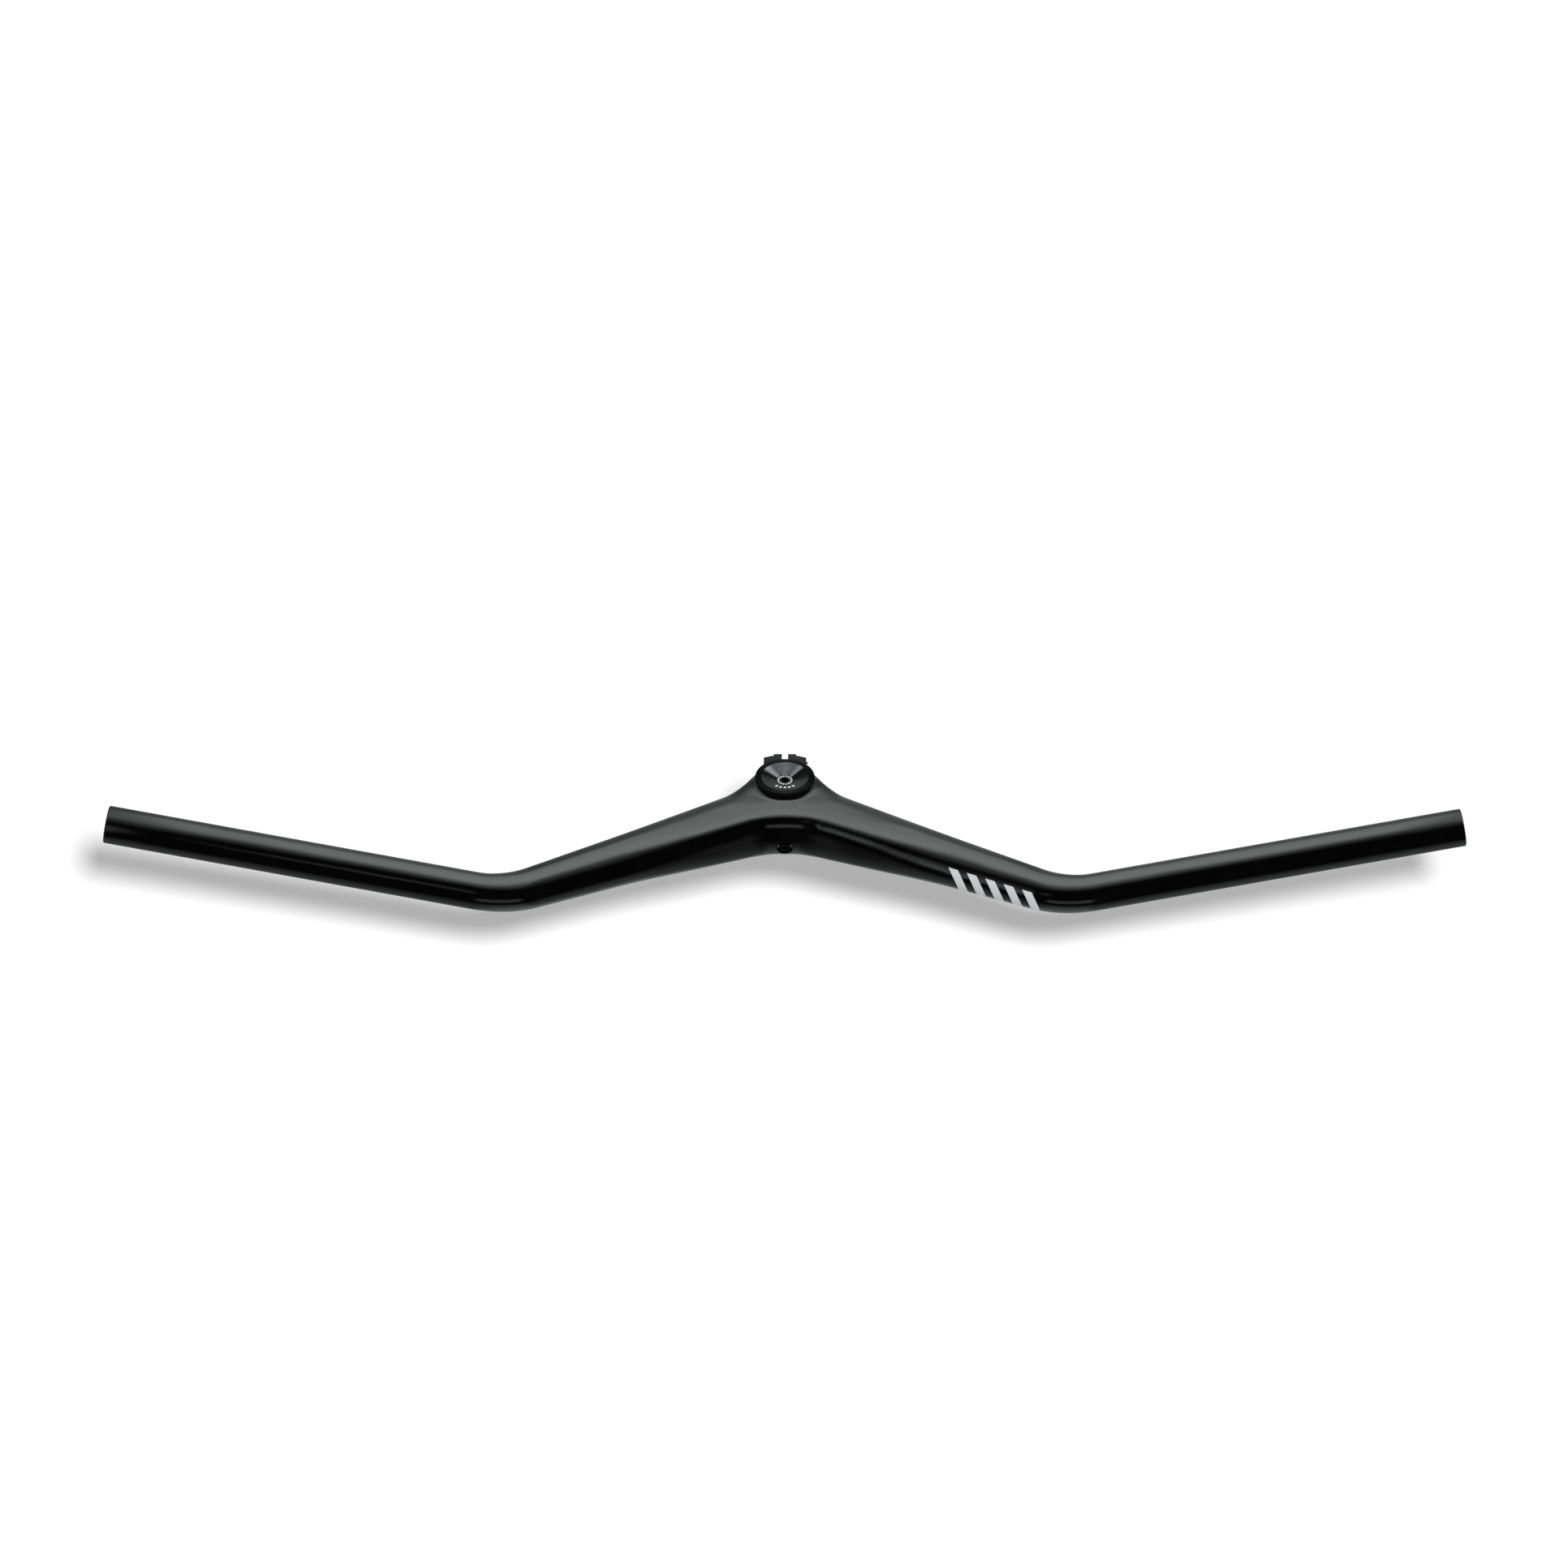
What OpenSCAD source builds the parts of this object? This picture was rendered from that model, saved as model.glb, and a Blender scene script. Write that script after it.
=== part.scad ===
// One piece mountain bike handlebar and stem, moulded as a hollow shell, with its clamp and cap hardware.
// Millimetres, +Z up along the steerer axis, -Y towards the front wheel, origin at the foot of the clamp.

/* [Bar] */
// Overall width, tip to tip
bar_w = 800; // [720:5:820]
// Outer diameter of the grip tubes
grip_d = 22.2; // [21.6:0.1:24]
// Wall of the grip tubes
grip_wall = 2.1; // [1.6:0.1:3]
// Distance of each bend from the middle of the bar
bend_x = 164; // [145:1:185]
// Radius of the bend, on the centre line
bend_r = 60; // [40:1:75]
// Backsweep of the grip tubes, in degrees
backsweep = 9; // [4:0.5:14]
// Upsweep of the grip tubes, in degrees
upsweep = 5.9; // [2:0.1:8]

/* [Arms] */
// Sweep of the arms towards the front, in degrees
arm_sweep = 25.5; // [20:0.2:30]
// Fall of the arms towards the bends, in degrees
arm_fall = 1.6; // [0:0.1:3]
// Distance from the steerer axis to the point where the arms' centre lines would meet
arm_lead = 7.5; // [5:0.1:9]
// Radius of the centre line across the nose
nose_r = 64; // [52:1:76]
// Depth of an arm, front to back, carried on to the middle
arm_depth = 40.8; // [36:0.2:44]
// Drop of the deck below the clamp's top, where the arms would meet
deck_drop = 0.1; // [0:0.1:3]
// Rise of the arms' underside above the clamp's foot, where the arms would meet
chin_rise = 3.8; // [2:0.1:5]
// Squareness of the deck's front edge at the nose, 2 is an ellipse
deck_edge = 5; // [3:0.1:7]
// Squareness of the lower front edge at the nose
chin_edge = 4; // [3:0.1:5]
// Squareness of the arms' back edge
shoulder_edge = 2.3; // [2:0.1:3]
// Squareness of the shoulders against the clamp
brow_edge = 6.5; // [3:0.1:7]
// Distance along the arm over which that squareness fades
brow_run = 30; // [20:1:40]
// Distance along the arm at which its section has become an ellipse
round_run = 112; // [90:1:150]
// How far the shoulders swell back towards the clamp
shoulder_swell = 24.6; // [20:0.2:28]
// Distance along the arm over which that swelling fades
shoulder_run = 12.5; // [11:0.1:14]
// Wall of the arms and the nose
arm_wall = 3; // [2:0.1:4]

/* [Steerer clamp] */
// Height of the clamp
clamp_h = 38; // [38:0.5:42]
// Diameter of the steerer tube
steerer_d = 28.6; // [27.6:0.1:28.8]
// Wall of the clamp round the steerer
clamp_wall = 3.5; // [3:0.1:4]
// Height of the land that grips the steerer at each end of the bore
land_h = 13; // [9:0.5:13]
// Depth of the relief between the lands
relief = 0.3; // [0.2:0.05:0.6]
// Width of the slot at the back
slot_w = 3.6; // [2:0.1:4]
// Width across both lugs
lug_w = 25; // [24:0.5:28]
// Radius of a lug round its bolt
lug_r = 7.8; // [7.4:0.1:8]
// Distance of the clamp bolts behind the steerer axis
lug_y = 20; // [19.6:0.1:21]
// Width of the slope at a lug's outer end
lug_slope = 5; // [3:0.1:5.5]
// Fall of that slope
lug_fall = 1.1; // [0.5:0.1:1.6]
// Height by which the upper lug stands above the clamp's top
lug_rise = 1.1; // [0:0.1:1.2]
// Step from the lugs' ends and backs in to the web between them
web_step = 2.2; // [1.5:0.1:3]
// Width of the raised lip on each side of the slot
lip_w = 4.8; // [3:0.1:5]
// Height of that lip above the lug
lip_h = 1; // [0.4:0.1:1.4]

/* [Cap] */
// Diameter of the cap and of the ring under it
cap_d = 35; // [34:0.1:36]
// Thickness of the cap's rim
rim_t = 1.2; // [1:0.1:1.6]
// Gap between the ring and the lips behind it
ring_gap = 0.7; // [0.4:0.1:1]
// Thickness of the ring under the cap
ring_t = 1.4; // [1:0.1:2]
// Diameter of the dish
dish_d = 28; // [26:0.1:30]
// Depth of the dish down to the bolt's head
dish_depth = 2.8; // [2.5:0.1:3.6]
// Thickness of the dish
dish_t = 1.8; // [1.4:0.1:2.2]
// Gap between the cap's hub and the bore
hub_gap = 0.3; // [0.2:0.1:0.8]

/* [Screws] */
// Diameter of the cap bolt's shank
cap_bolt_d = 6; // [5:0.5:6]
// Length of the cap bolt under its head
cap_bolt_len = 20; // [14:1:20]
// Diameter of the cap bolt's head
cap_bolt_head_d = 10; // [9.5:0.1:10.4]
// Height of the cap bolt's head
cap_bolt_head_h = 3; // [2.5:0.1:3.5]
// Width across the flats of the cap bolt's socket
cap_bolt_hex = 4; // [3:0.5:5]
// Depth of the cap bolt's socket
cap_bolt_hex_deep = 2; // [1.5:0.1:2.2]
// Diameter of a clamp bolt's shank
clamp_bolt_d = 5; // [4:0.5:5]
// Length of a clamp bolt under its head
clamp_bolt_len = 20; // [18:1:20]
// Diameter of a clamp bolt's head
clamp_bolt_head_d = 8.5; // [8:0.1:8.7]
// Width across the flats of a clamp bolt's socket
clamp_bolt_hex = 4; // [3:0.5:4]
// Depth of a clamp bolt's socket
clamp_bolt_hex_deep = 2.5; // [2:0.1:3.5]
// Thickness of the washer under a clamp bolt's head
washer_t = 1; // [0.6:0.1:1.2]
// Depth to which a clamp bolt's head is sunk in its lug
head_sink = 7; // [6.5:0.1:7.5]
// Diameter of the threaded bush in the far lug
bush_d = 8; // [7:0.1:8.6]
// Length of that bush
bush_len = 8.5; // [7:0.1:9]
// Clearance between a screw and what it passes through, on the radius
screw_gap = 0.06; // [0.04:0.01:0.1]

/* [Port in the nose] */
// Height of the port's mouth above the clamp's foot
port_z = 13; // [12:0.1:14]
// Diameter of the port's sunk mouth
port_d = 9.3; // [8.8:0.1:10]
// Angle by which the port points down, in degrees
port_tilt = 12; // [6:1:18]
// Depth of the mouth below the nose's surface
port_depth = 2.2; // [1.8:0.1:3]
// Diameter of the screw that closes the port
port_screw_d = 5; // [4:0.5:5]
// Diameter of that screw's head
port_head_d = 7.2; // [6.8:0.1:7.6]
// Height of that screw's head
port_head_h = 1.6; // [1.4:0.1:2]
// Width across the flats of that screw's socket
port_hex = 3; // [2.5:0.1:3.2]
// Depth of that screw's socket
port_hex_deep = 1.2; // [0.8:0.1:1.3]
// Length of that screw under its head
port_screw_len = 8; // [6:0.5:9]
// Outer diameter of the threaded bush behind the port
port_bush_d = 8; // [7:0.1:8.6]

/* [Hidden] */

round_fn = 96;
small_fn = 48;
// Points round each section of the shell and of its hollow
section_points = 56;
hollow_points = 36;
// Overlap that makes a cut run clear through
past = 1;

grip_r = grip_d / 2;
bore_r = steerer_d / 2;
barrel_r = bore_r + clamp_wall;
per_degree = PI / 180;

// Centre line of one half of the bar in plan: nose arc, straight arm, bend, straight grip
turn = arm_sweep + backsweep;
nose_run = nose_r * arm_sweep * per_degree;
nose_x = nose_r * sin(arm_sweep);
nose_y = -arm_lead - nose_x * tan(arm_sweep);
arm_run = (bend_x - nose_x) / cos(arm_sweep) - bend_r * tan(turn / 2);
bend_start = nose_run + arm_run;
bend_run = bend_r * turn * per_degree;
bend_end = bend_start + bend_run;
bend_mid = (bend_start + bend_end) / 2;
bend_at = [nose_x + arm_run * cos(arm_sweep), nose_y - arm_run * sin(arm_sweep)];
bend_centre = bend_at + bend_r * [sin(arm_sweep), cos(arm_sweep)];
grip_at = bend_centre + bend_r * [sin(backsweep), -cos(backsweep)];

// Direction of the centre line in plan, in degrees from +X
function heading(s) =
    s < nose_run ? -s / nose_r / per_degree :
    s < bend_start ? -arm_sweep :
    s < bend_end ? -arm_sweep + (s - bend_start) / bend_r / per_degree :
    backsweep;

// Point of the centre line in plan, at the distance s along it from the middle
function plan(s) =
    s < nose_run ? [0, nose_y + nose_r * (1 - cos(arm_sweep))]
        + nose_r * [sin(s / nose_r / per_degree), cos(s / nose_r / per_degree) - 1] :
    s < bend_start ? [nose_x, nose_y] + (s - nose_run) * [cos(arm_sweep), -sin(arm_sweep)] :
    s < bend_end ? bend_centre + bend_r * [sin(heading(s)), -cos(heading(s))] :
    grip_at + (s - bend_end) * [cos(backsweep), sin(backsweep)];

// Height and slope of the centre line: falling arm, rising grip, and parabolas over the nose and the bend
arm_height = clamp_h - deck_drop - chin_rise;
arm_z = clamp_h - deck_drop - arm_height / 2;
fall = -tan(arm_fall);
rise = tan(upsweep);
function height(s) =
    let (arm = arm_z + fall * s, into = s - bend_start)
    s < nose_run ? arm_z + fall * (s * s / nose_run + nose_run) / 2 :
    s < bend_start ? arm :
    s < bend_end ? arm + (rise - fall) * into * into / (2 * bend_run) :
    arm + (rise - fall) * (s - bend_mid);
function slope(s) =
    s < nose_run ? fall * s / nose_run :
    s < bend_start ? fall :
    s < bend_end ? fall + (rise - fall) * (s - bend_start) / bend_run :
    rise;

// The arm tapers in a straight line to the grip's size, and is round a little past the bend's middle
taper_end = bend_mid + 0.3 * bend_run;
function taper(s) = max(0, 1 - s / taper_end);
// Where it meets the grip tube it is drawn in by a hair, so that the tube's own wall stays whole
seam = 0.02;
function round_r(s) = grip_r - (s < bend_end ? 0 : seam);
function half_depth(s) = round_r(s) + (arm_depth / 2 - grip_r) * taper(s);
function half_height(s) = round_r(s) + (arm_height / 2 - grip_r) * taper(s);

// Outer edge of the shoulder in plan: it leaves the arm, and curls round the clamp to its back
function across(s) = [-sin(heading(s)), cos(heading(s))];
function swell(s) = shoulder_swell * exp(-pow(s / shoulder_run, 2));
function arm_back(s) = plan(s) + (half_depth(s) + swell(s)) * across(s);
curl_run = 14.2;
curl_from = arm_back(curl_run);
curl_r = norm(curl_from);
curl_angle = atan2(curl_from[1], curl_from[0]);
curl_r_end = barrel_r - 0.5;
function curl(angle) = pow((90 - angle) / (90 - curl_angle), 0.85);
function shoulder(s) =
    let (angle = 90 - (90 - curl_angle) * s / curl_run)
    (curl_r_end + (curl_r - curl_r_end) * curl(angle)) * [cos(angle), sin(angle)];
function back_edge(s) = s < curl_run ? shoulder(s) : arm_back(s);
function front_edge(s) = plan(s) - half_depth(s) * across(s);

// Sections are squared ellipses, whose squareness fades along the arm
function fade(x) = let (c = min(1, max(0, x))) c * c * (3 - 2 * c);
function square(full, s) = 2 + (full - 2) * fade(1 - s / round_run);
function bulge(c, n) = sign(c) * pow(abs(c), 2 / n);
function section(s, inset, count) =
    let (
        front = front_edge(s),
        back = back_edge(s),
        span = back - front,
        along = span / norm(span),
        mid = (front + back) / 2,
        depth = norm(span) / 2 - inset,
        tall = half_height(s) - inset,
        lean = atan(slope(s)),
        ahead = [cos(heading(s)), sin(heading(s))],
        deck = square(deck_edge, s),
        chin = square(chin_edge, s),
        rear = square(shoulder_edge + (brow_edge - shoulder_edge) * fade(1 - s / brow_run), s)
    )
    [for (i = [0 : count - 1])
        let (
            a = 360 * i / count,
            n = cos(a) > 0 ? rear : sin(a) > 0 ? deck : chin,
            d = depth * bulge(cos(a), n),
            h = tall * bulge(sin(a), n),
            xy = mid + d * along - h * sin(lean) * ahead
        )
        [xy[0], xy[1], height(s) + h * cos(lean)]];

// A skin over a row of sections, each a ring of as many points, closed at both ends
module skin(rings) {
    count = len(rings[0]);
    last = len(rings) - 1;
    polyhedron(
        points = [for (ring = rings) each ring],
        faces = [
            [for (i = [0 : count - 1]) i],
            [for (i = [count - 1 : -1 : 0]) last * count + i],
            for (k = [0 : last - 1], i = [0 : count - 1])
                let (j = (i + 1) % count, a = k * count, b = a + count)
                each [[a + i, b + i, b + j], [a + i, b + j, a + j]]
        ],
        convexity = 8
    );
}

// Stations along one half: close together at the nose, the shoulders and the bend
shoulder_end = 44;
lead_in = 1;
function steps(from, to, count) = [for (i = [0 : count - 1]) from + (to - from) * i / count];
nose_stations = concat(steps(0, curl_run, 7), steps(curl_run, shoulder_end, 7),
    steps(shoulder_end, bend_start, 5));
bend_stations = concat(steps(bend_start, bend_end, 7), [bend_end, bend_end + lead_in]);
stations = concat(nose_stations, bend_stations);

function flip(ring) = [for (p = ring) [-p[0], p[1], p[2]]];
function both_sides(s_list, inset, count) = concat(
    [for (i = [len(s_list) - 1 : -1 : 1]) flip(section(s_list[i], inset, count))],
    [for (s = s_list) section(s, inset, count)]
);

// Places the children at a grip tube's root, with +Z running out along the tube; side is 1 or -1
module at_grip(side) {
    mirror([side > 0 ? 0 : 1, 0, 0])
        translate([grip_at[0], grip_at[1], height(bend_end)])
            rotate([0, 0, backsweep])
                rotate([0, 90 - upsweep, 0])
                    children();
}

// The rounded edge of each tip reaches the overall width
edge_r = 1;
tube_cos = cos(backsweep) * cos(upsweep);
tip_lean = edge_r + (grip_r - edge_r) * sqrt(1 - tube_cos * tube_cos);
grip_len = edge_r + (bar_w / 2 - grip_at[0] - tip_lean) / tube_cos;

module grip_tube() {
    rotate_extrude($fn = round_fn)
        polygon([
            [0, 0],
            [grip_r, 0],
            [grip_r, grip_len - edge_r],
            for (a = [15 : 15 : 90])
                [grip_r - edge_r + edge_r * cos(a), grip_len - edge_r + edge_r * sin(a)],
            [0, grip_len]
        ]);
}

module grip_bore() {
    translate([0, 0, -2 * past])
        cylinder(r = grip_r - grip_wall, h = grip_len + 3 * past, $fn = round_fn);
}

// Clamp bolts: the upper one enters from the left, the lower one from the right
lug_inset = 0.3;
upper_z = clamp_h - lug_r + lug_rise;
lower_z = lug_r + lug_inset;
module at_bolt(upper) {
    translate([0, lug_y, upper ? upper_z : lower_z])
        rotate([0, upper ? 90 : -90, 0])
            children();
}
head_seat = lug_w / 2 - head_sink;
bolt_r = clamp_bolt_d / 2;

module lug() {
    half = lug_w / 2;
    straight = half - lug_slope;
    for (side = [0, 1])
        mirror([0, 0, side]) {
            cylinder(r = lug_r, h = straight, $fn = small_fn);
            translate([0, 0, straight])
                cylinder(r1 = lug_r, r2 = lug_r - lug_fall, h = lug_slope, $fn = small_fn);
        }
}

// The lips stand up on both sides of the slot
module lips() {
    width = slot_w + 2 * lip_w;
    at_bolt(true)
        translate([0, 0, -width / 2])
            cylinder(r = lug_r + lip_h, h = width, $fn = small_fn);
}

module clamp_body() {
    cylinder(r = barrel_r, h = clamp_h, $fn = round_fn);
    at_bolt(true) lug();
    at_bolt(false) lug();
    translate([-lug_w / 2 + web_step, 0, lower_z])
        cube([lug_w - 2 * web_step, lug_y + lug_r - web_step, upper_z - lower_z]);
    lips();
}

// The bore has a land at each end and a relief between them, and its top is faced for the ring
module clamp_cuts() {
    translate([0, 0, clamp_h])
        cylinder(r = cap_d / 2 + ring_gap, h = clamp_h, $fn = round_fn);
    translate([0, 0, -past])
        cylinder(r = bore_r, h = clamp_h + 2 * past, $fn = round_fn);
    translate([0, 0, land_h])
        cylinder(r = bore_r + relief, h = clamp_h - 2 * land_h, $fn = round_fn);
    translate([-slot_w / 2, bore_r / 2, -past])
        cube([slot_w, 3 * bore_r, clamp_h + 4 * past]);
}

module bolt_cuts() {
    for (upper = [true, false])
        at_bolt(upper) {
            translate([0, 0, -lug_w])
                cylinder(r = bolt_r + 0.25, h = 1.2 * lug_w, $fn = small_fn);
            translate([0, 0, -lug_w])
                cylinder(r = clamp_bolt_head_d / 2 + 0.2, h = lug_w - head_seat, $fn = small_fn);
            translate([0, 0, lug_w / 2 - bush_len])
                cylinder(r = bush_d / 2, h = lug_w, $fn = small_fn);
        }
}

// Places the children on the port's axis, with +Z pointing out of its mouth and 0 at the nose's surface
port_at = [0, front_edge(0)[1] + 0.35, port_z];
module at_port() {
    translate(port_at)
        rotate([90 + port_tilt, 0, 0])
            children();
}
port_bush_len = port_screw_len + 1;

// The boss runs back from the port into the clamp's wall
module port_boss() {
    boss_len = -port_at[1] - barrel_r;
    at_port()
        translate([0, 0, -boss_len])
            cylinder(r = port_bush_d / 2 + arm_wall, h = boss_len, $fn = small_fn);
}

module port_cuts() {
    at_port() {
        translate([0, 0, -port_depth])
            cylinder(r = port_d / 2, h = 3 * port_depth, $fn = small_fn);
        translate([0, 0, -port_depth - port_bush_len])
            cylinder(r = port_bush_d / 2, h = port_bush_len + port_depth, $fn = small_fn);
    }
}

// The hollow runs from tube to tube, round the clamp's core and the port's boss
core_wall = 1;
module hollow() {
    core_r = barrel_r + core_wall;
    difference() {
        skin(both_sides(stations, arm_wall, hollow_points));
        cylinder(r = core_r, h = clamp_h, $fn = round_fn);
        translate([-core_r, 0, 0])
            cube([2 * core_r, 2 * core_r, clamp_h]);
        port_boss();
    }
}

module bar_stem() {
    color("#141416")
    difference() {
        union() {
            skin(both_sides(stations, 0, section_points));
            for (side = [-1, 1])
                at_grip(side) grip_tube();
            clamp_body();
        }
        hollow();
        for (side = [-1, 1])
            at_grip(side) grip_bore();
        clamp_cuts();
        bolt_cuts();
        port_cuts();
    }
}

// Heights of the cap's faces
ring_top = clamp_h + ring_t;
cap_top = ring_top + rim_t;
dish_floor = cap_top - dish_depth;
bolt_seat = dish_floor - cap_bolt_head_h;
well_r = cap_bolt_head_d / 2 + 0.2;
hub_r = bore_r - hub_gap;

module top_cap() {
    rim_r = cap_d / 2;
    dish_r = dish_d / 2;
    soft = 0.4;
    under = ring_top;
    color("#232325")
    rotate_extrude($fn = round_fn)
        polygon([
            [cap_bolt_d / 2 + 0.2, bolt_seat],
            [well_r, bolt_seat],
            [well_r, dish_floor],
            [dish_r - 0.5, cap_top - 0.25],
            [dish_r, cap_top],
            [rim_r - soft, cap_top],
            [rim_r - soft * 0.3, cap_top - soft * 0.3],
            [rim_r, cap_top - soft],
            [rim_r, under + 0.15],
            [rim_r - 0.15, under],
            [hub_r, under],
            [hub_r, under - dish_t],
            [hub_r - 1, under - dish_t],
            [well_r + dish_t, dish_floor - dish_t],
            [well_r + dish_t, bolt_seat - dish_t],
            [cap_bolt_d / 2 + 0.2, bolt_seat - dish_t]
        ]);
}

module cap_seat_ring() {
    soft = 0.3;
    color("#0d0d0e")
    rotate_extrude($fn = round_fn)
        polygon([
            [bore_r + 0.1, clamp_h],
            [cap_d / 2 - soft, clamp_h],
            [cap_d / 2, clamp_h + soft],
            [cap_d / 2, ring_top - soft],
            [cap_d / 2 - soft, ring_top],
            [bore_r + 0.1, ring_top]
        ]);
}

// A socket head screw on +Z, with its seat at 0 and its shank below
module screw(d, len, head_d, head_h, hex, hex_depth) {
    tip = 0.6;
    soft = 0.4;
    difference() {
        rotate_extrude($fn = small_fn)
            polygon([
                [0, -len],
                [d / 2 - tip, -len],
                [d / 2, -len + tip],
                [d / 2, 0],
                [head_d / 2, 0],
                [head_d / 2, head_h - soft],
                [head_d / 2 - soft, head_h],
                [0, head_h]
            ]);
        translate([0, 0, head_h - hex_depth])
            cylinder(d = hex / cos(30), h = hex_depth + past, $fn = 6);
    }
}

module top_cap_bolt() {
    color("#1a1a1b")
    translate([0, 0, bolt_seat])
        screw(cap_bolt_d, cap_bolt_len, cap_bolt_head_d, cap_bolt_head_h,
                cap_bolt_hex, cap_bolt_hex_deep);
}

module clamp_bolt(upper) {
    color("#1c1c1e")
    at_bolt(upper)
        translate([0, 0, -head_seat - washer_t])
            rotate([180, 0, 0])
                screw(clamp_bolt_d, clamp_bolt_len, clamp_bolt_head_d, clamp_bolt_d,
                    clamp_bolt_hex, clamp_bolt_hex_deep);
}

module clamp_washer(upper) {
    color("silver")
    at_bolt(upper)
        translate([0, 0, -head_seat - washer_t])
            difference() {
                cylinder(d = clamp_bolt_head_d, h = washer_t, $fn = small_fn);
                translate([0, 0, -past])
                    cylinder(r = bolt_r + screw_gap, h = washer_t + 2 * past, $fn = small_fn);
            }
}

module bush(d, len, screw_r) {
    difference() {
        cylinder(d = d, h = len, $fn = small_fn);
        translate([0, 0, -past])
            cylinder(r = screw_r + screw_gap, h = len + 2 * past, $fn = small_fn);
    }
}

module clamp_bush(upper) {
    color("silver")
    at_bolt(upper)
        translate([0, 0, lug_w / 2 - bush_len])
            bush(bush_d, bush_len, bolt_r);
}

module port_bush() {
    color("silver")
    at_port()
        translate([0, 0, -port_depth - port_bush_len])
            bush(port_bush_d, port_bush_len, port_screw_d / 2);
}

module port_screw() {
    color("#101011")
    at_port()
        translate([0, 0, -port_depth])
            screw(port_screw_d, port_screw_len, port_head_d, port_head_h, port_hex, port_hex_deep);
}

bar_stem();
top_cap();
cap_seat_ring();
top_cap_bolt();
clamp_bolt(true);  // clamp_bolt_upper
clamp_bolt(false);  // clamp_bolt_lower
clamp_washer(true);  // clamp_washer_upper
clamp_washer(false);  // clamp_washer_lower
clamp_bush(true);  // clamp_bush_upper
clamp_bush(false);  // clamp_bush_lower
port_bush();
port_screw();
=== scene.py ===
"""Looks of a one piece mountain bike handlebar and stem, laid out as a Blender add-on."""

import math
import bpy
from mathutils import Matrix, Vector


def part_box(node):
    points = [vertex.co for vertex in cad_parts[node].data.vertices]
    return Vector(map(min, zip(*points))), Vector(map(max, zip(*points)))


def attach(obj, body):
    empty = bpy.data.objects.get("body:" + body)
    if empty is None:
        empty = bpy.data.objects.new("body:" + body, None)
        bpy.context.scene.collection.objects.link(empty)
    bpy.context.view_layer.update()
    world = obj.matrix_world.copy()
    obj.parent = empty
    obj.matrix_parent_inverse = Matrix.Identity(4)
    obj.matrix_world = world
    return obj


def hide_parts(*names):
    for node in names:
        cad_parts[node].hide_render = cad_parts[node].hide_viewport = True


bl_info = {
    "name": "Integrated Handlebar Stem",
    "version": (1, 0, 0),
    "blender": (4, 5, 0),
    "location": "3D View > Sidebar > Handlebar",
    "description": "Builds the shell, the cap, the screws and the studio of an integrated handlebar stem",
    "category": "Object",
}

import bpy
import numpy as np
from bpy.props import FloatProperty, FloatVectorProperty, PointerProperty
from mathutils import Matrix

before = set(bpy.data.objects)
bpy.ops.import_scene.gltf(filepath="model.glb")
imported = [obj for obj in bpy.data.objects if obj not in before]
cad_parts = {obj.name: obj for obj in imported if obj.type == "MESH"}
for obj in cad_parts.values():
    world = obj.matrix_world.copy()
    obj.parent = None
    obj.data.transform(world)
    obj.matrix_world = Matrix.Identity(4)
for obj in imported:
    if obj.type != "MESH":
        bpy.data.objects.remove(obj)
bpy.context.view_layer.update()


# Sizes in millimetres, as in the part's source


def size(name, description, default):
    """A length in millimetres."""
    return FloatProperty(name=name, description=description, default=default, min=0.0, precision=2)


def angle(name, description, degrees):
    """An angle, shown in degrees."""
    return FloatProperty(name=name, description=description, default=math.radians(degrees), subtype="ANGLE")


def colour(name, description, rgb):
    """A linear colour without alpha."""
    return FloatVectorProperty(
        name=name, description=description, default=rgb, size=3, subtype="COLOR", min=0.0, max=1.0
    )


def squareness(name, description, default):
    """The exponent of a squared ellipse, of which 2 is a plain one."""
    return FloatProperty(name=name, description=description, default=default, min=2.0)


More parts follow.
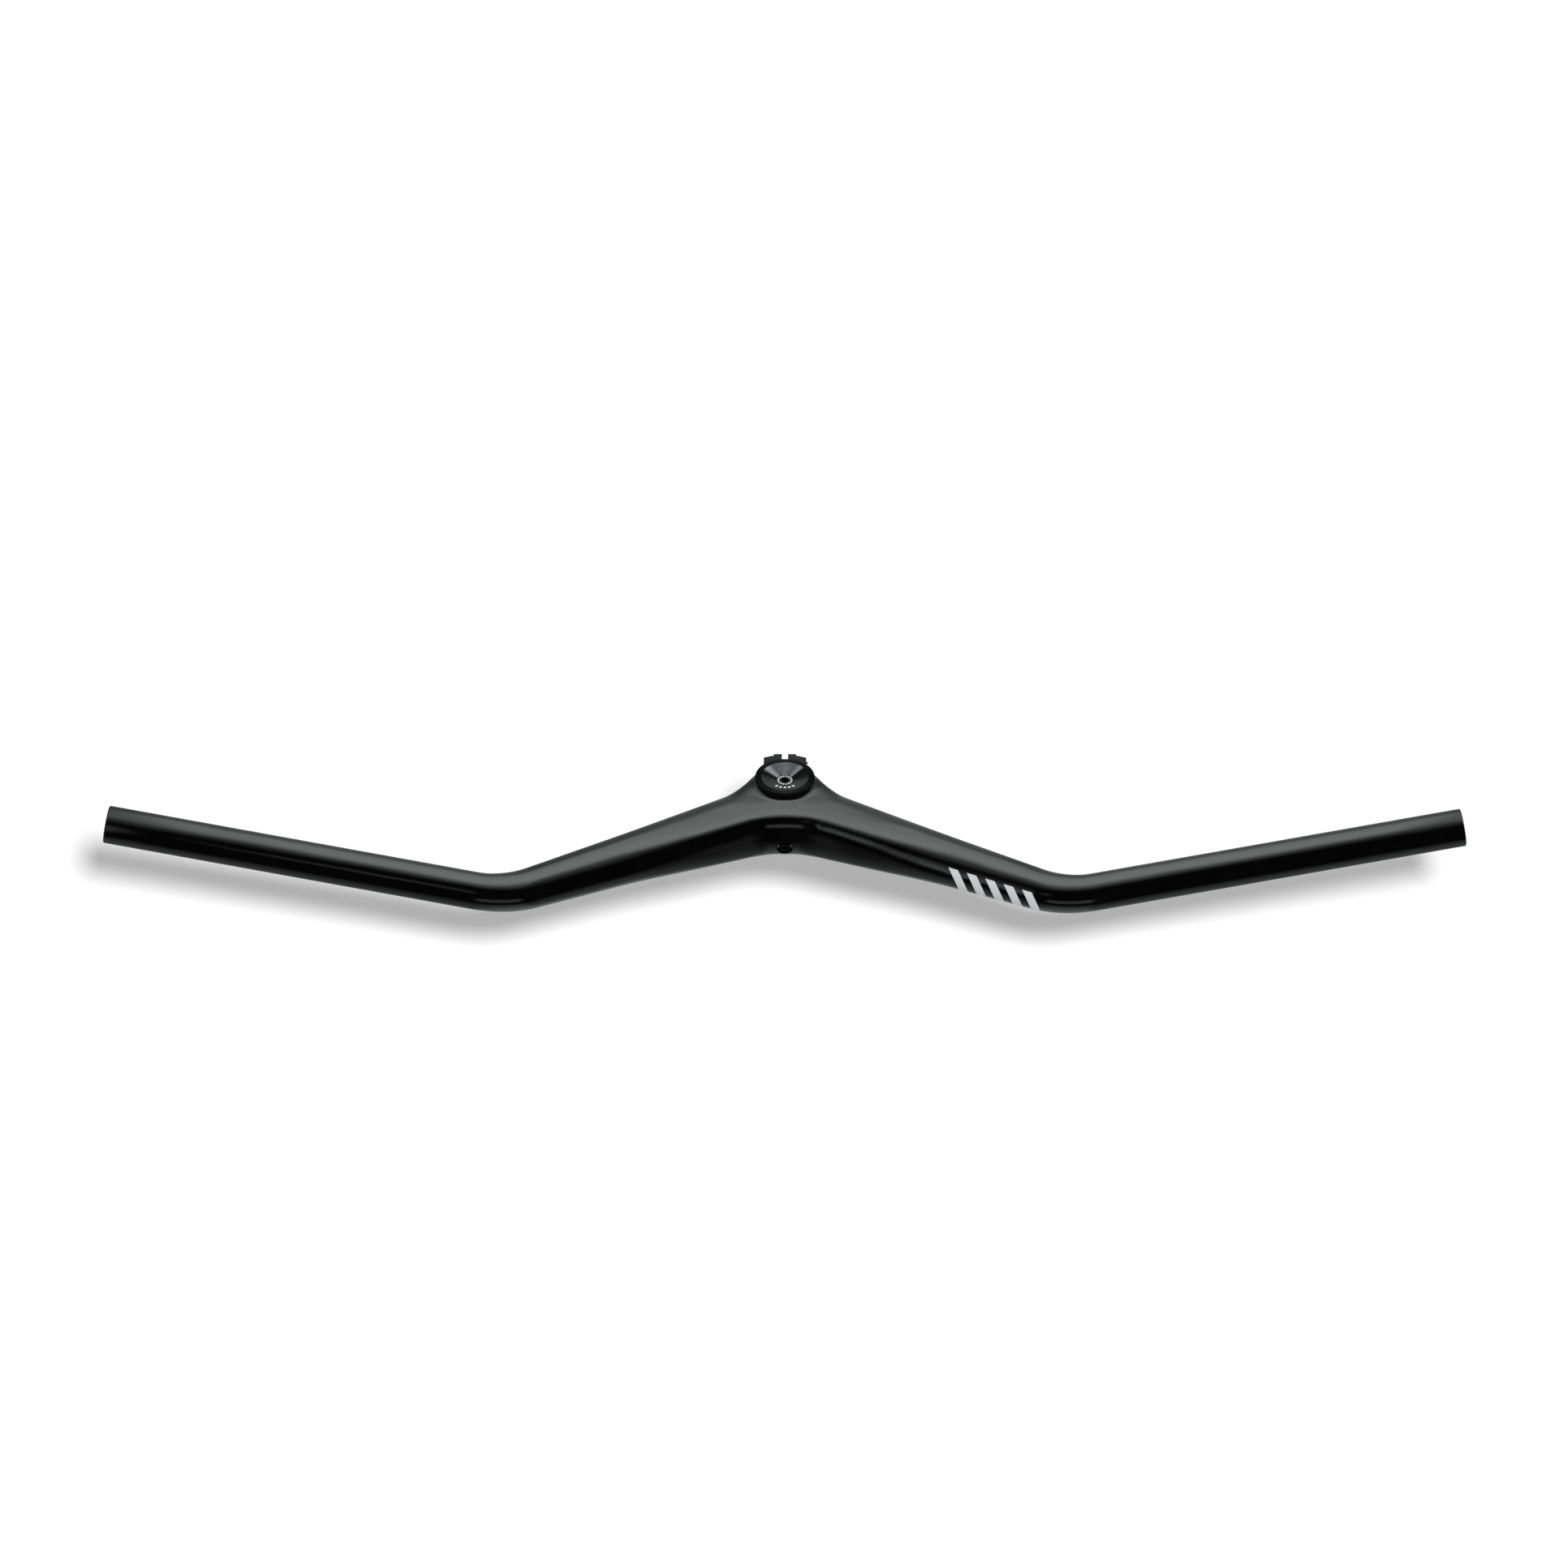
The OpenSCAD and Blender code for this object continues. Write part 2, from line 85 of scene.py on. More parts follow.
class HBS_PG_shell(bpy.types.PropertyGroup):
    """Sizes and colours of the moulded shell."""

    bar_w: size("Bar width", "Overall width, tip to tip, in mm", 800.0)
    grip_d: size("Grip diameter", "Outer diameter of the grip tubes, in mm", 22.2)
    grip_wall: size("Grip wall", "Wall of the grip tubes, in mm", 2.1)
    bend_x: size("Bend position", "Distance of each bend from the middle, in mm", 164.0)
    bend_r: size("Bend radius", "Radius of the bend on the centre line, in mm", 60.0)
    backsweep: angle("Backsweep", "Backsweep of the grip tubes", 9.0)
    upsweep: angle("Upsweep", "Upsweep of the grip tubes", 5.9)
    arm_sweep: angle("Arm sweep", "Sweep of the arms towards the front", 25.5)
    arm_fall: angle("Arm fall", "Fall of the arms towards the bends", 1.6)
    arm_lead: size("Arm lead", "From the steerer axis to where the arms' centre lines would meet, in mm", 7.5)
    nose_r: size("Nose radius", "Radius of the centre line across the nose, in mm", 64.0)
    arm_depth: size("Arm depth", "Depth of an arm carried on to the middle, in mm", 40.8)
    clamp_h: size("Clamp height", "Height of the steerer clamp, in mm", 38.0)
    deck_drop: size("Deck drop", "Drop of the deck below the clamp's top, at the middle, in mm", 0.1)
    chin_rise: size("Chin rise", "Rise of the underside above the clamp's foot, at the middle, in mm", 3.8)
    deck_edge: squareness("Deck edge", "Squareness of the deck's front edge", 5.0)
    chin_edge: squareness("Chin edge", "Squareness of the lower front edge", 4.0)
    shoulder_edge: squareness("Shoulder edge", "Squareness of the arms' back edge", 2.3)
    brow_edge: squareness("Brow edge", "Squareness of the shoulders against the clamp", 6.5)
    brow_run: size("Brow run", "Distance over which that squareness fades, in mm", 30.0)
    round_run: size("Round run", "Distance at which the section has become an ellipse, in mm", 112.0)
    shoulder_swell: size("Shoulder swell", "How far the shoulders swell back, in mm", 24.6)
    shoulder_run: size("Shoulder run", "Distance over which the swelling fades, in mm", 12.5)
    arm_wall: size("Arm wall", "Wall of the arms and the nose, in mm", 3.0)
    paint: colour("Paint", "Black under the clear coat", (0.0009, 0.0008, 0.0008))
    satin: colour("Satin", "Bare laminate of the clamp's lugs", (0.0035, 0.0035, 0.0036))
    mark: colour("Mark", "Grey of the printed bars", (0.40, 0.41, 0.42))


class HBS_PG_clamp(bpy.types.PropertyGroup):
    """Sizes of the steerer clamp and of the port."""

    steerer_d: size("Steerer", "Diameter of the steerer tube, in mm", 28.6)
    wall: size("Clamp wall", "Wall round the steerer, in mm", 3.5)
    slot_w: size("Slot", "Width of the slot, in mm", 3.6)
    lug_w: size("Lugs", "Width across both lugs, in mm", 25.0)
    lug_r: size("Lug radius", "Radius of a lug round its bolt, in mm", 7.8)
    lug_slope: size("Lug slope", "Width of the slope at a lug's outer end, in mm", 5.0)
    lug_fall: size("Lug fall", "Fall of that slope, in mm", 1.1)
    lug_rise: size("Lug rise", "Height of the upper lug above the clamp's top, in mm", 1.1)
    lug_y: size("Lug distance", "Distance of the bolts behind the steerer axis, in mm", 20.0)
    lip_w: size("Lip width", "Width of the raised lip on each side of the slot, in mm", 4.8)
    lip_h: size("Lip height", "Height of that lip, in mm", 1.0)
    cap_d: size("Cap", "Diameter of the cap, in mm", 35.0)
    port_z: size("Port height", "Height of the port's mouth, in mm", 13.0)
    port_d: size("Port", "Diameter of the port's mouth, in mm", 9.3)
    port_tilt: angle("Port tilt", "Angle by which the port points down", 12.0)


# Path and sections of the shell


def bar_path(p):
    """Fixed values of one half's centre line: nose arc, straight arm, bend arc and straight grip, in plan."""
    turn = p.arm_sweep + p.backsweep
    nose_run = p.nose_r * p.arm_sweep
    nose_x = p.nose_r * math.sin(p.arm_sweep)
    nose = np.array([nose_x, -p.arm_lead - nose_x * math.tan(p.arm_sweep)])
    arm_run = (p.bend_x - nose[0]) / math.cos(p.arm_sweep) - p.bend_r * math.tan(turn / 2)
    start = nose_run + arm_run
    end = start + p.bend_r * turn
    bend_at = nose + arm_run * np.array([math.cos(p.arm_sweep), -math.sin(p.arm_sweep)])
    centre = bend_at + p.bend_r * np.array([math.sin(p.arm_sweep), math.cos(p.arm_sweep)])
    grip_at = centre + p.bend_r * np.array([math.sin(p.backsweep), -math.cos(p.backsweep)])
    edge = 1.0
    tube_cos = math.cos(p.backsweep) * math.cos(p.upsweep)
    lean = edge + (p.grip_d / 2 - edge) * math.sqrt(1 - tube_cos**2)
    grip_len = edge + (p.bar_w / 2 - grip_at[0] - lean) / tube_cos
    return dict(
        nose_run=nose_run, nose=nose, start=start, end=end, centre=centre, grip_at=grip_at, edge=edge,
        grip_len=grip_len, tip=end + grip_len * math.cos(p.upsweep),
        arm_height=p.clamp_h - p.deck_drop - p.chin_rise, arm_z=(p.clamp_h - p.deck_drop + p.chin_rise) / 2,
    )


def centre_line(p, path, s):
    """Heading, plan point, height and slope at the distances s. The heading turns evenly over each arc;
    the height is a parabola over the nose and the bend and a straight line between."""
    nose_run, start, end = path["nose_run"], path["start"], path["end"]
    parts = [s < nose_run, s < start, s < end]
    head = np.select(parts, [-s / p.nose_r, -p.arm_sweep, -p.arm_sweep + (s - start) / p.bend_r], p.backsweep)
    top = path["nose"][1] + p.nose_r * (1 - math.cos(p.arm_sweep))
    arc_x, arc_y = p.nose_r * np.sin(s / p.nose_r), top + p.nose_r * (np.cos(s / p.nose_r) - 1)
    arm_x = path["nose"][0] + (s - nose_run) * math.cos(p.arm_sweep)
    arm_y = path["nose"][1] - (s - nose_run) * math.sin(p.arm_sweep)
    bend_x, bend_y = path["centre"][0] + p.bend_r * np.sin(head), path["centre"][1] - p.bend_r * np.cos(head)
    grip_x = path["grip_at"][0] + (s - end) * math.cos(p.backsweep)
    grip_y = path["grip_at"][1] + (s - end) * math.sin(p.backsweep)
    x, y = np.select(parts, [arc_x, arm_x, bend_x], grip_x), np.select(parts, [arc_y, arm_y, bend_y], grip_y)
    fall, rise, run = -math.tan(p.arm_fall), math.tan(p.upsweep), end - start
    arm = path["arm_z"] + fall * s
    nose = path["arm_z"] + fall * (s * s / nose_run + nose_run) / 2
    bend = arm + (rise - fall) * (s - start) ** 2 / (2 * run)
    grip = arm + (rise - fall) * (s - (start + end) / 2)
    z = np.select(parts, [nose, arm, bend], grip)
    slopes = [fall * s / nose_run, fall + 0 * s, fall + (rise - fall) * (s - start) / run]
    return head, np.stack([x, y], -1), z, np.select(parts, slopes, rise)


def half_sizes(p, path, s):
    """Half depth and half height. Both taper in a straight line to the grip's radius, which they reach a
    little past the bend's middle."""
    end = (path["start"] + path["end"]) / 2 + 0.3 * (path["end"] - path["start"])
    taper = np.maximum(0, 1 - s / end)
    r = p.grip_d / 2
    return r + (p.arm_depth / 2 - r) * taper, r + (path["arm_height"] / 2 - r) * taper


# Distance from the middle over which the back edge curls round the clamp, the power by which its radius falls
# there, and how far it ends inside the clamp's wall, in millimetres
CURL_RUN = 14.2
CURL_POWER = 0.85
CURL_SINK = 0.5


def edges(p, q, path, s):
    """Front and back edge of the shell in plan. The back edge is the arm's, swollen by a bell curve near
    the middle. Next to the clamp it is a spiral, whose radius falls to the clamp's by a power of the angle."""

    def arm_back(t):
        head, xy, _, _ = centre_line(p, path, t)
        depth, _ = half_sizes(p, path, t)
        reach = depth + p.shoulder_swell * np.exp(-((t / p.shoulder_run) ** 2))
        return xy + reach[:, None] * np.stack([-np.sin(head), np.cos(head)], -1)

    head, xy, _, _ = centre_line(p, path, s)
    depth, _ = half_sizes(p, path, s)
    front = xy - depth[:, None] * np.stack([-np.sin(head), np.cos(head)], -1)
    begin = arm_back(np.array([CURL_RUN]))[0]
    radius, bearing = np.hypot(*begin), math.atan2(begin[1], begin[0])
    last = q.steerer_d / 2 + q.wall - CURL_SINK
    turn = np.clip(s / CURL_RUN, 0, 1)
    a = math.pi / 2 - (math.pi / 2 - bearing) * turn
    r = last + (radius - last) * turn**CURL_POWER
    curl = r[:, None] * np.stack([np.cos(a), np.sin(a)], -1)
    return front, np.where((s < CURL_RUN)[:, None], curl, arm_back(s))


def soft_step(x):
    """Smooth step: 0 below 0, 1 above 1, three x squared less two x cubed between."""
    x = np.clip(x, 0, 1)
    return x * x * (3 - 2 * x)


def rings(p, q, path, s, inset, count, side):
    """One closed ring of points per station. Each is a squared ellipse set square to the sloping centre line.
    Its exponent differs between the deck, the chin and the rear and fades to 2 along the arm. Side -1 mirrors
    the ring."""
    head, _, z, slope = centre_line(p, path, s)
    front, back = edges(p, q, path, s)
    span = back - front
    length = np.linalg.norm(span, axis=1)
    across, mid = span / length[:, None], (front + back) / 2
    depth = (length / 2 - inset)[:, None]
    tall = (half_sizes(p, path, s)[1] - inset)[:, None]
    fade, near = (soft_step(1 - s / run)[:, None] for run in (p.round_run, p.brow_run))
    a = np.arange(count)[None, :] * (2 * math.pi / count)
    c, h = np.cos(a), np.sin(a)
    rear = p.shoulder_edge + (p.brow_edge - p.shoulder_edge) * near
    full = np.where(c > 1e-9, rear, np.where(h > 0, p.deck_edge, p.chin_edge))
    n = 2 + (full - 2) * fade
    power = (1 + 2 / n) / 2
    u, v = np.sign(c) * np.abs(c) ** power, np.sign(h) * np.abs(h) ** power
    k = (np.abs(u) ** n + np.abs(v) ** n) ** (-1 / n)
    d, h = depth * u * k, tall * v * k
    lean = np.arctan(slope)[:, None]
    ahead = np.stack([np.cos(head), np.sin(head)], -1)[:, None, :]
    xy = mid[:, None, :] + d[..., None] * across[:, None, :] - (h * np.sin(lean))[..., None] * ahead
    return np.concatenate([xy * [side, 1], (z[:, None] + h * np.cos(lean))[..., None]], -1)


# Meshes


def new_object(name, mesh):
    """An object at the origin, linked to the scene."""
    made = bpy.data.objects.new(name, mesh)
    bpy.context.scene.collection.objects.link(made)
    return made


def grid_mesh(name, points, close_u=False, close_v=True):
    """Mesh of a grid of points, rows by columns, in millimetres. Each cell is one quad, and a closed
    direction joins its last row or column to its first."""
    rows, cols = points.shape[:2]
    i = np.arange(rows if close_u else rows - 1)[:, None]
    j = np.arange(cols if close_v else cols - 1)[None, :]
    i2, j2 = (i + 1) % rows, (j + 1) % cols
    quads = np.stack([i * cols + j, i2 * cols + j, i2 * cols + j2, i * cols + j2], -1).reshape(-1, 4)
    mesh = bpy.data.meshes.new(name)
    mesh.from_pydata((points.reshape(-1, 3) * 0.001).tolist(), [], quads.tolist())
    mesh.update()
    return mesh


def turned(profile, count, place=np.eye(4)):
    """Surface of revolution of a closed profile of (radius, height) pairs: each pair becomes a ring of count
    points round the Z axis, and place, a 4 by 4 matrix in millimetres, sets it in the part."""
    profile = np.array(profile, float)
    a = np.arange(count) * (2 * math.pi / count)
    r, z = profile[:, 0][:, None], profile[:, 1][:, None] + 0 * a[None, :]
    points = np.stack([r * np.cos(a), r * np.sin(a), z], -1)
    return points @ place[:3, :3].T + place[:3, 3]


def placed(origin, axis, up=(0, 0, 1)):
    """Matrix whose Z axis is axis and whose origin is origin."""
    z = np.array(axis, float) / np.linalg.norm(axis)
    x = np.cross(up, z)
    x = x / np.linalg.norm(x) if np.linalg.norm(x) > 1e-6 else np.array([1.0, 0, 0])
    made = np.eye(4)
    made[:3, 0], made[:3, 1], made[:3, 2], made[:3, 3] = x, np.cross(z, x), z, origin
    return made


def matrix(turn, origin):
    """Blender's matrix of a 3 by 3 rotation and an origin in metres."""
    made = Matrix.Identity(4)
    for i in range(3):
        made[i][:3], made[i][3] = turn[i], origin[i]
    return made


def solid(name, points):
    """Closed solid from a row of rings: the first and last ring are each filled by one face."""
    rows, cols = points.shape[:2]
    i, j = np.arange(rows - 1)[:, None], np.arange(cols)[None, :]
    j2 = (j + 1) % cols
    corners = [i * cols + j, i * cols + j2, (i + 1) * cols + j2, (i + 1) * cols + j]
    quads = np.stack(corners, -1).reshape(-1, 4)
    faces = quads.tolist() + [list(range(cols))[::-1], list(range((rows - 1) * cols, rows * cols))]
    mesh = bpy.data.meshes.new(name)
    mesh.from_pydata((points.reshape(-1, 3) * 0.001).tolist(), [], faces)
    mesh.update()
    return new_object(name, mesh)


def rod(name, radius, low, high, place=np.eye(4), count=96):
    """A cylinder between two heights on its own axis."""
    return solid(name, turned([[radius, low], [radius, high]], count, place))


def block(name, low, high):
    """A box between two corners."""
    (x0, y0, z0), (x1, y1, z1) = low, high
    ring = np.array([[x0, y0], [x1, y0], [x1, y1], [x0, y1]])
    return solid(name, np.stack([np.column_stack([ring, np.full(4, z)]) for z in (z0, z1)]))


def combine(body, others, how):
    """Boolean of body with each of the others, which are removed after."""
    for other in others:
        step = body.modifiers.new(how, "BOOLEAN")
        step.operation, step.object, step.solver = how, other, "MANIFOLD"
    made = bpy.data.meshes.new_from_object(body.evaluated_get(bpy.context.evaluated_depsgraph_get()))
    body.modifiers.clear()
    old, body.data = body.data, made
    bpy.data.meshes.remove(old)
    for other in others:
        mesh = other.data
        bpy.data.objects.remove(other)
        bpy.data.meshes.remove(mesh)
    if not len(made.polygons):
        raise RuntimeError(f"the {how.lower()} left nothing")


def smooth(obj, degrees=30):
    """Smooth shading with sharp edges above the angle."""
    obj.data.shade_smooth()
    obj.data.set_sharp_from_angle(angle=math.radians(degrees))


# Materials


def material(name, **values):
    """A Principled material with plain values on its own sockets; returns it, its tree and the shader."""
    made = bpy.data.materials.new(name)
    made.use_nodes = True
    shader = made.node_tree.nodes["Principled BSDF"]
    for key, value in values.items():
        shader.inputs[key.replace("_", " ")].default_value = value
    return made, made.node_tree, shader


def dress(obj, made):
    """Puts one material on an object."""
    obj.data.materials.clear()
    obj.data.materials.append(made)


def add(tree, kind, inputs=None, **settings):
    """A shader node with its settings; each input is a value or the socket that feeds it."""
    made = tree.nodes.new("ShaderNode" + kind)
    for key, value in settings.items():
        setattr(made, key, value)
    for key, value in (inputs or {}).items():
        if isinstance(value, bpy.types.NodeSocket):
            tree.links.new(value, made.inputs[key])
        else:
            made.inputs[key].default_value = value
    return made


def feed(tree, shader, **sockets):
    """Links sockets to the shader's inputs by their names."""
    for key, socket in sockets.items():
        tree.links.new(socket, shader.inputs[key.replace("_", " ")])


def calc(tree, operation, *values):
    """One step of arithmetic on numbers and sockets."""
    return add(tree, "Math", dict(enumerate(values)), operation=operation).outputs[0]


def ease(tree, value, low, high, first=0.0, last=1.0):
    """Smooth change from first to last while the value runs from low to high."""
    limits = {"Value": value, "From Min": low, "From Max": high, "To Min": first, "To Max": last}
    return add(tree, "MapRange", limits, interpolation_type="SMOOTHSTEP").outputs["Result"]


def between(tree, value, low, high, soft):
    """1 where the value lies between low and high, with soft as the width of both edges."""
    return times(tree, ease(tree, value, low, low + soft), ease(tree, value, high, high + soft, 1.0, 0.0))


def away(tree, value, middle):
    """Distance of the value from the middle."""
    return calc(tree, "ABSOLUTE", calc(tree, "SUBTRACT", value, middle))


def total(tree, *values):
    """Sum of several numbers and sockets."""
    made = values[0]
    for value in values[1:]:
        made = calc(tree, "ADD", made, value)
    return made


def times(tree, *values):
    """Product of several numbers and sockets."""
    made = values[0]
    for value in values[1:]:
        made = calc(tree, "MULTIPLY", made, value)
    return made


def blend(tree, mask, first, second):
    """Colour mixed from first to second by the mask."""
    node = add(tree, "Mix", {0: mask}, data_type="RGBA")
    for i, value in ((6, first), (7, second)):
        if isinstance(value, bpy.types.NodeSocket):
            tree.links.new(value, node.inputs[i])
        else:
            node.inputs[i].default_value = (*value, 1)
    return node.outputs[2]


def along(tree, direction):
    """Distance of the shaded point along a direction, in metres, in the part's frame."""
    point = add(tree, "TexCoord").outputs["Object"]
    return add(tree, "VectorMath", {0: point, 1: direction}, operation="DOT_PRODUCT").outputs["Value"]


def group(name, inputs, output):
    """An empty node group with numbers as inputs and one output, unless it was made before."""
    if name in bpy.data.node_groups:
        return bpy.data.node_groups[name], None, None
    made = bpy.data.node_groups.new(name, "ShaderNodeTree")
    for label, value in inputs.items():
        made.interface.new_socket(label, in_out="INPUT", socket_type="NodeSocketFloat").default_value = value
    made.interface.new_socket(output[0], in_out="OUTPUT", socket_type="NodeSocket" + output[1])
    return made, made.nodes.new("NodeGroupInput").outputs, made.nodes.new("NodeGroupOutput").inputs


def noise(tree, scale, detail):
    """Noise on the part's own coordinates."""
    place = add(tree, "TexCoord").outputs["Object"]
    return add(tree, "TexNoise", {"Vector": place, "Scale": scale, "Detail": detail}).outputs[0]


def uneven(tree, scale, low, high):
    """A value that wanders between low and high over the surface."""
    inputs = {"Scale": 200.0, "Low": 0.0, "High": 1.0}
    made, given, result = group("uneven_finish", inputs, ("Value", "Float"))
    if given:
        limits = {"Value": noise(made, given["Scale"], 3.0), "From Min": 0.35, "From Max": 0.65}
        limits.update({"To Min": given["Low"], "To Max": given["High"]})
        made.links.new(add(made, "MapRange", limits).outputs["Result"], result["Value"])
    node = add(tree, "Group", node_tree=made)
    for key, value in {"Scale": scale, "Low": low, "High": high}.items():
        node.inputs[key].default_value = value
    return node.outputs["Value"]


def grain(tree, scale, height):
    """Normal of a surface with fine bumps of the given height in metres."""
    made, given, result = group("fine_grain", {"Scale": 2000.0, "Height": 0.00001}, ("Normal", "Vector"))
    if given:
        bumps = {"Height": noise(made, given["Scale"], 2.0), "Distance": given["Height"], "Strength": 1.0}
        made.links.new(add(made, "Bump", bumps).outputs["Normal"], result["Normal"])
    node = add(tree, "Group", node_tree=made)
    node.inputs["Scale"].default_value = scale
    node.inputs["Height"].default_value = height
    return node.outputs["Normal"]


def polar(tree):
    """Radius and bearing of the shaded point round the part's Z axis."""
    split = add(tree, "SeparateXYZ", {0: add(tree, "TexCoord").outputs["Object"]})
    x, y = split.outputs["X"], split.outputs["Y"]
    radius = calc(tree, "SQRT", calc(tree, "ADD", times(tree, x, x), times(tree, y, y)))
    return radius, calc(tree, "ARCTAN2", y, x), split.outputs["Z"]


# Moulded shell, in millimetres


def stations(low, high, step):
    """Even distances from low up to high, which is left out."""
    return np.linspace(low, high, max(2, int(round((high - low) / step))), endpoint=False)


def shell_points(p, q, path):
    """Rings of points from the middle along the outside to one tip, round its edge and back inside the
    hollow, then the same for the mirrored half."""
    start, end, tip, edge = (path[key] for key in ("start", "end", "tip", "edge"))
    shoulder_end, wall_run, tip_run, around = 48, 15, 8, 128
    edge_run = edge * math.cos(p.upsweep)
    outer = np.concatenate([
        stations(0, CURL_RUN, 0.7), stations(CURL_RUN, shoulder_end, 1.2), stations(shoulder_end, start, 3.5),
        stations(start, end, 1.4), stations(end, tip - edge_run, 45.0),
    ])
    turn = np.radians(np.arange(0, 91, 15.0))
    rim = tip - edge_run * (1 - np.sin(turn))
    inner = np.concatenate([[tip], np.linspace(tip - tip_run, end, 4), stations(0, end, 4.0)[::-1]])
    wall = np.interp(inner, [end - wall_run, end], [p.arm_wall, p.grip_wall])
    s = np.concatenate([outer, rim, inner])
    inset = np.concatenate([0 * outer, edge * (1 - np.cos(turn)), wall])
    right, left = (rings(p, q, path, s, inset, around, side) for side in (1, -1))
    return np.concatenate([right, left[1:-1][::-1]])


def clamp_places(p, q, path):
    """Heights of the upper and the lower bolt, and the port's matrix on the nose."""
    lower_gap, port_sink = 0.3, 0.35
    upper, lower = p.clamp_h - q.lug_r + q.lug_rise, q.lug_r + lower_gap
    port_y = edges(p, q, path, np.array([0.0]))[0][0][1] + port_sink
    port = placed((0, port_y, q.port_z), (0, -math.cos(q.port_tilt), -math.sin(q.port_tilt)))
    return upper, lower, port


def clamp_bodies(p, q, upper, lower, port):
    """Solids that join the shell: fill round the clamp, the port's boss, the clamp, its lugs, web and lips."""
    top, barrel, half = p.clamp_h, q.steerer_d / 2 + q.wall, q.lug_w / 2
    fill, fill_end, boss_r, boss_start, web_gap = 1, 4, 7, -3, 2.2
    flat, low_r = half - q.lug_slope, q.lug_r - q.lug_fall
    profile = [[low_r, -half], [q.lug_r, -flat], [q.lug_r, flat], [low_r, half]]
    lug_at = [placed((0, q.lug_y, z), (1, 0, 0)) for z in (upper, lower)]
    web_ends = (-half + web_gap, 0, lower), (half - web_gap, q.lug_y + q.lug_r - web_gap, upper)
    lip_half = q.slot_w / 2 + q.lip_w
    return [
        rod("inside", barrel + fill, fill_end, top - fill_end),
        rod("boss", boss_r, port[1, 3] + barrel, boss_start, port, 64),
        rod("core", barrel, 0, top),
        *(solid("lug", turned(profile, 96, at)) for at in lug_at),
        block("web", *web_ends),
        rod("lips", q.lug_r + q.lip_h, -lip_half, lip_half, lug_at[0], 128),
    ]


def clamp_cuts(p, q, upper, lower, port):
    """Solids cut from the shell: the cap's seat, the bore, the slot, the holes of the bolts, and the port."""
    top, bore, half = p.clamp_h, q.steerer_d / 2, q.lug_w / 2
    past, cap_gap, slot_end = 5, 0.7, 60
    hole_r, head_r, head_depth, bush_r, bush_depth, reach = 2.75, 4.45, 7, 4, 8.5, 30
    mouth_depth, thread_r, thread_depth = 2.2, 4, 11.2
    cuts = [
        rod("facing", q.cap_d / 2 + cap_gap, top, top + 4 * past, count=128),
        rod("bore", bore, -past, top + past, count=128),
        block("slot", (-q.slot_w / 2, bore / 2, -past), (q.slot_w / 2, slot_end, top + 2 * past)),
    ]
    for z, way in ((upper, 1), (lower, -1)):
        at = placed((0, q.lug_y, z), (way, 0, 0))
        cuts += [
            rod("hole", hole_r, -reach, past, at, 48),
            rod("head", head_r, -reach, -half + head_depth, at, 64),
            rod("bush", bush_r, half - bush_depth, reach, at, 64),
        ]
    mouth = rod("mouth", q.port_d / 2, -mouth_depth, past, port, 96)
    return [*cuts, mouth, rod("thread", thread_r, -thread_depth, 0, port, 64)]


class HBS_OT_shell(bpy.types.Operator):
    """Build the moulded shell with its clamp, slot and port"""

    bl_idname = "hbs.shell"
    bl_label = "Moulded shell"

    def execute(self, context):
        p, q = context.scene.hbs_shell, context.scene.hbs_clamp
        path = bar_path(p)
        mesh = grid_mesh("moulded_shell", shell_points(p, q, path), close_u=True)
        shell = new_object("moulded_shell", mesh)
        shell.data.flip_normals()
        places = clamp_places(p, q, path)
        combine(shell, clamp_bodies(p, q, *places), "UNION")
        combine(shell, clamp_cuts(p, q, *places), "DIFFERENCE")
        smooth(shell)
        dress(shell, gloss_carbon(p))
        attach(shell, "root")
        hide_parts("bar_stem")
        return {"FINISHED"}


# Finishes of the pieces


def lug_mask(tree):
    """1 on the clamp's lugs behind the cap, 0 on the coated shell."""
    side, behind = calc(tree, "ABSOLUTE", along(tree, (1, 0, 0))), along(tree, (0, 1, 0))
    return times(tree, ease(tree, side, 0.0126, 0.0131, 1.0, 0.0), ease(tree, behind, 0.0118, 0.0128))


def bar_mask(tree):
    """1 on five slanted bars printed on the front of the right arm: the place is measured along the arm and
    across a plane that leans back, and the depth in front of that plane keeps the print off the back."""
    steep, flat = 0.807, 0.5906
    x, across, depth = along(tree, (1, 0, 0)), along(tree, (0, flat, steep)), along(tree, (0, -steep, flat))
    first, last, pitch = 0.1005, 0.1525, 0.0108
    arm_fall, slant, back_sweep = 0.30, 0.55, 0.33
    rise = calc(tree, "MULTIPLY_ADD", x, arm_fall, across)
    step = calc(tree, "MULTIPLY_ADD", rise, slant, x)
    phase = calc(tree, "FRACT", calc(tree, "DIVIDE", calc(tree, "SUBTRACT", step, first), pitch))
    bar = between(tree, phase, 0.0, 0.52, 0.02)
    ends = between(tree, step, first, last, 0.0002)
    height = between(tree, rise, -0.0030, 0.0083, 0.0002)
    front = ease(tree, calc(tree, "MULTIPLY_ADD", x, -back_sweep, depth), 0.022, 0.024)
    return times(tree, bar, ends, height, front)


def collar_bump(tree):
    """Normal of the grained surface, raised towards the clamp on the deck round the cap."""
    radius, _, height = polar(tree)
    reach = calc(tree, "MAXIMUM", calc(tree, "SUBTRACT", 0.0225, radius), 0.0)
    deck = ease(tree, height, 0.0350, 0.0362)
    ahead = ease(tree, along(tree, (0, 1, 0)), 0.004, 0.014, 1.0, 0.0)
    lift = times(tree, reach, reach, 23.0, times(tree, deck, ahead))
    bumps = {"Height": lift, "Distance": 1.0, "Strength": 1.0, "Normal": grain(tree, 2600.0, 0.000012)}
    return add(tree, "Bump", bumps).outputs["Normal"]


